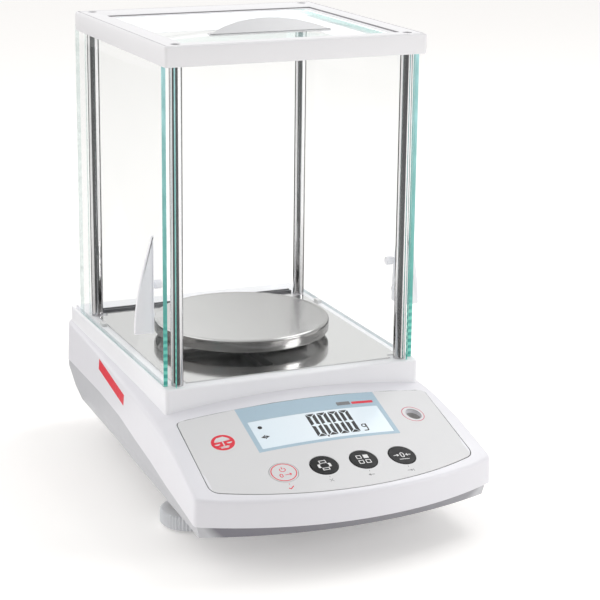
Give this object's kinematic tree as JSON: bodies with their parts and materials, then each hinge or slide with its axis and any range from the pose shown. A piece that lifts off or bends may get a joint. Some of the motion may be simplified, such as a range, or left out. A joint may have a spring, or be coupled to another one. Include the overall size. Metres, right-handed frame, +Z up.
{
  "type": "analytical balance",
  "caption": "Top-loading analytical balance: sloping control panel, round steel pan in a glass draft shield with sliding side and top doors, and levelling wheels at the front.",
  "frame": {"origin": "on the surface it stands on, under the middle of the overall outline", "axes": "+Z up, -Y towards the user, at the control panel's side, +X to the user's right"},
  "size_m": [0.1998, 0.317, 0.3104],
  "materials": {
    "housing_white": "satin moulded white",
    "housing_grey": "satin moulded grey",
    "overlay_film": "fine matt printed film",
    "window": "clear acrylic over a pale display",
    "lcd": "glass-faced display module",
    "circuit_board": "solder-masked laminate",
    "switch_plastic": "moulded switch bodies",
    "key_red_ring": "white cap with a red ring",
    "key_black": "matt black cap",
    "level_cup": "moulded grey",
    "vial": "clear vial with tinted liquid",
    "bubble": "clear",
    "connector_metal": "tinned shell",
    "connector_black": "moulded black",
    "screw_steel": "zinc plated",
    "machined_aluminium": "as machined",
    "winding": "enamelled winding",
    "pot_iron": "nickel-plated soft iron",
    "support_plastic": "glass-filled black moulding",
    "pan_steel": "polished stainless",
    "plate_steel": "satin stainless sheet",
    "frame_white": "satin moulded white",
    "post_chrome": "bright turned rod",
    "clear_glass": "clear float glass, ground edges",
    "seal_rubber": "matt black",
    "handle_plastic": "satin light grey moulding",
    "grip_plastic": "satin light grey moulding",
    "guide_plastic": "low-friction white",
    "wheel_grey": "ribbed grey moulding",
    "foot_rubber": "matt black",
    "insert_brass": "turned"
  },
  "bodies": {
    "base": {"upper_housing": "housing_white", "lower_housing": "housing_grey", "housing_screws": "screw_steel", "control_overlay": "overlay_film", "display_window": "window", "lcd_module": "lcd", "display_board": "circuit_board", "key_switches": "switch_plastic", "level_cup": "level_cup", "level_vial": "vial", "level_bubble": "bubble", "main_board": "circuit_board", "rs232_port": "connector_metal", "power_jack": "connector_black", "lock_slot": "screw_steel", "cell_mount_plate": "machined_aluminium", "cell_frame": "machined_aluminium", "upper_guide": "machined_aluminium", "lower_guide": "machined_aluminium", "magnet_pot": "pot_iron", "position_sensor": "connector_black", "floor_plate": "plate_steel", "draft_ring": "plate_steel", "top_frame": "frame_white", "draft_posts": "post_chrome", "top_frame_screws": "screw_steel", "front_glass": "clear_glass", "rear_glass": "clear_glass", "rear_glass_seal": "seal_rubber", "door_guides": "guide_plastic", "foot_inserts": "insert_brass", "rear_foot_pads": "foot_rubber", "cover_pivot_screw": "screw_steel"},
    "left_door": {"left_door_glass": "clear_glass", "left_door_handle": "handle_plastic", "left_door_knob": "handle_plastic"},
    "right_door": {"right_door_glass": "clear_glass", "right_door_handle": "handle_plastic", "right_door_knob": "handle_plastic"},
    "top_door": {"top_door_glass": "clear_glass", "top_door_grip": "grip_plastic"},
    "carrier": {"load_receiver": "machined_aluminium", "weigh_below_hook": "screw_steel"},
    "pan_support": {"pan_support": "support_plastic"},
    "pan": {"weighing_pan": "pan_steel"},
    "lever": {"weigh_lever": "machined_aluminium", "voice_coil": "winding"},
    "power_key": {"key_power_zero": "key_red_ring"},
    "print_key": {"key_print": "key_black"},
    "function_key": {"key_function": "key_black"},
    "tare_key": {"key_tare": "key_black"},
    "left_foot": {"left_foot_pad": "foot_rubber"},
    "right_foot": {"right_foot_pad": "foot_rubber"},
    "left_wheel": {"left_foot_wheel": "wheel_grey"},
    "right_wheel": {"right_foot_wheel": "wheel_grey"},
    "below_cover": {"weigh_below_cover": "housing_grey"}
  },
  "joints": [
    {"name": "left_door_slide", "type": "slide", "parent": "base", "child": "left_door", "axis": [0, 1, 0], "range_m": [0, 0.134]},
    {"name": "right_door_slide", "type": "slide", "parent": "base", "child": "right_door", "axis": [0, 1, 0], "range_m": [0, 0.134]},
    {"name": "top_door_slide", "type": "slide", "parent": "base", "child": "top_door", "axis": [0, 1, 0], "range_m": [0, 0.088]},
    {"name": "load_travel", "type": "slide", "parent": "base", "child": "carrier", "axis": [0, 0, 1], "range_m": [-0.0004, 0], "stiffness_N_per_m": 8000, "springref_m": 0.0005},
    {"name": "support_lift", "type": "slide", "parent": "carrier", "child": "pan_support", "axis": [0, 0, 1], "range_m": [0, 0.03]},
    {"name": "pan_lift", "type": "slide", "parent": "pan_support", "child": "pan", "axis": [0, 0, 1], "range_m": [0, 0.05]},
    {"name": "lever_tilt", "type": "hinge", "parent": "base", "child": "lever", "pos_m": [0, 0.06, 0.0484], "axis": [1, 0, 0], "range_deg": [-0.1, 2.1]},
    {"name": "power_key_press", "type": "slide", "parent": "base", "child": "power_key", "axis": [0.0655, 0.3118, -0.9479], "range_m": [0, 0.0006], "stiffness_N_per_m": 1500, "springref_m": -0.0006},
    {"name": "print_key_press", "type": "slide", "parent": "base", "child": "print_key", "axis": [0.0229, 0.3124, -0.9497], "range_m": [0, 0.0006], "stiffness_N_per_m": 1500, "springref_m": -0.0006},
    {"name": "function_key_press", "type": "slide", "parent": "base", "child": "function_key", "axis": [-0.0197, 0.3125, -0.9497], "range_m": [0, 0.0006], "stiffness_N_per_m": 1500, "springref_m": -0.0006},
    {"name": "tare_key_press", "type": "slide", "parent": "base", "child": "tare_key", "axis": [-0.0623, 0.3119, -0.9481], "range_m": [0, 0.0006], "stiffness_N_per_m": 1500, "springref_m": -0.0006},
    {"name": "left_foot_height", "type": "slide", "parent": "base", "child": "left_foot", "axis": [0, 0, 1], "range_m": [-0.006, 0]},
    {"name": "left_wheel_turn", "type": "hinge", "parent": "left_foot", "child": "left_wheel", "pos_m": [-0.076, -0.062, 0.0067], "axis": [0, 0, 1], "range_deg": [-2160, 0]},
    {"name": "right_foot_height", "type": "slide", "parent": "base", "child": "right_foot", "axis": [0, 0, 1], "range_m": [-0.006, 0]},
    {"name": "right_wheel_turn", "type": "hinge", "parent": "right_foot", "child": "right_wheel", "pos_m": [0.076, -0.062, 0.0067], "axis": [0, 0, 1], "range_deg": [-2160, 0]},
    {"name": "below_cover_swing", "type": "hinge", "parent": "base", "child": "below_cover", "pos_m": [0, 0.0204, 0.022], "axis": [0, 0, 1], "range_deg": [0, 75]}
  ],
  "couplings": [
    {"joint": "lever_tilt", "follows": "load_travel", "rad_per_m": -86},
    {"joint": "left_foot_height", "follows": "left_wheel_turn", "m_per_rad": 0.00015915},
    {"joint": "right_foot_height", "follows": "right_wheel_turn", "m_per_rad": 0.00015915}
  ]
}
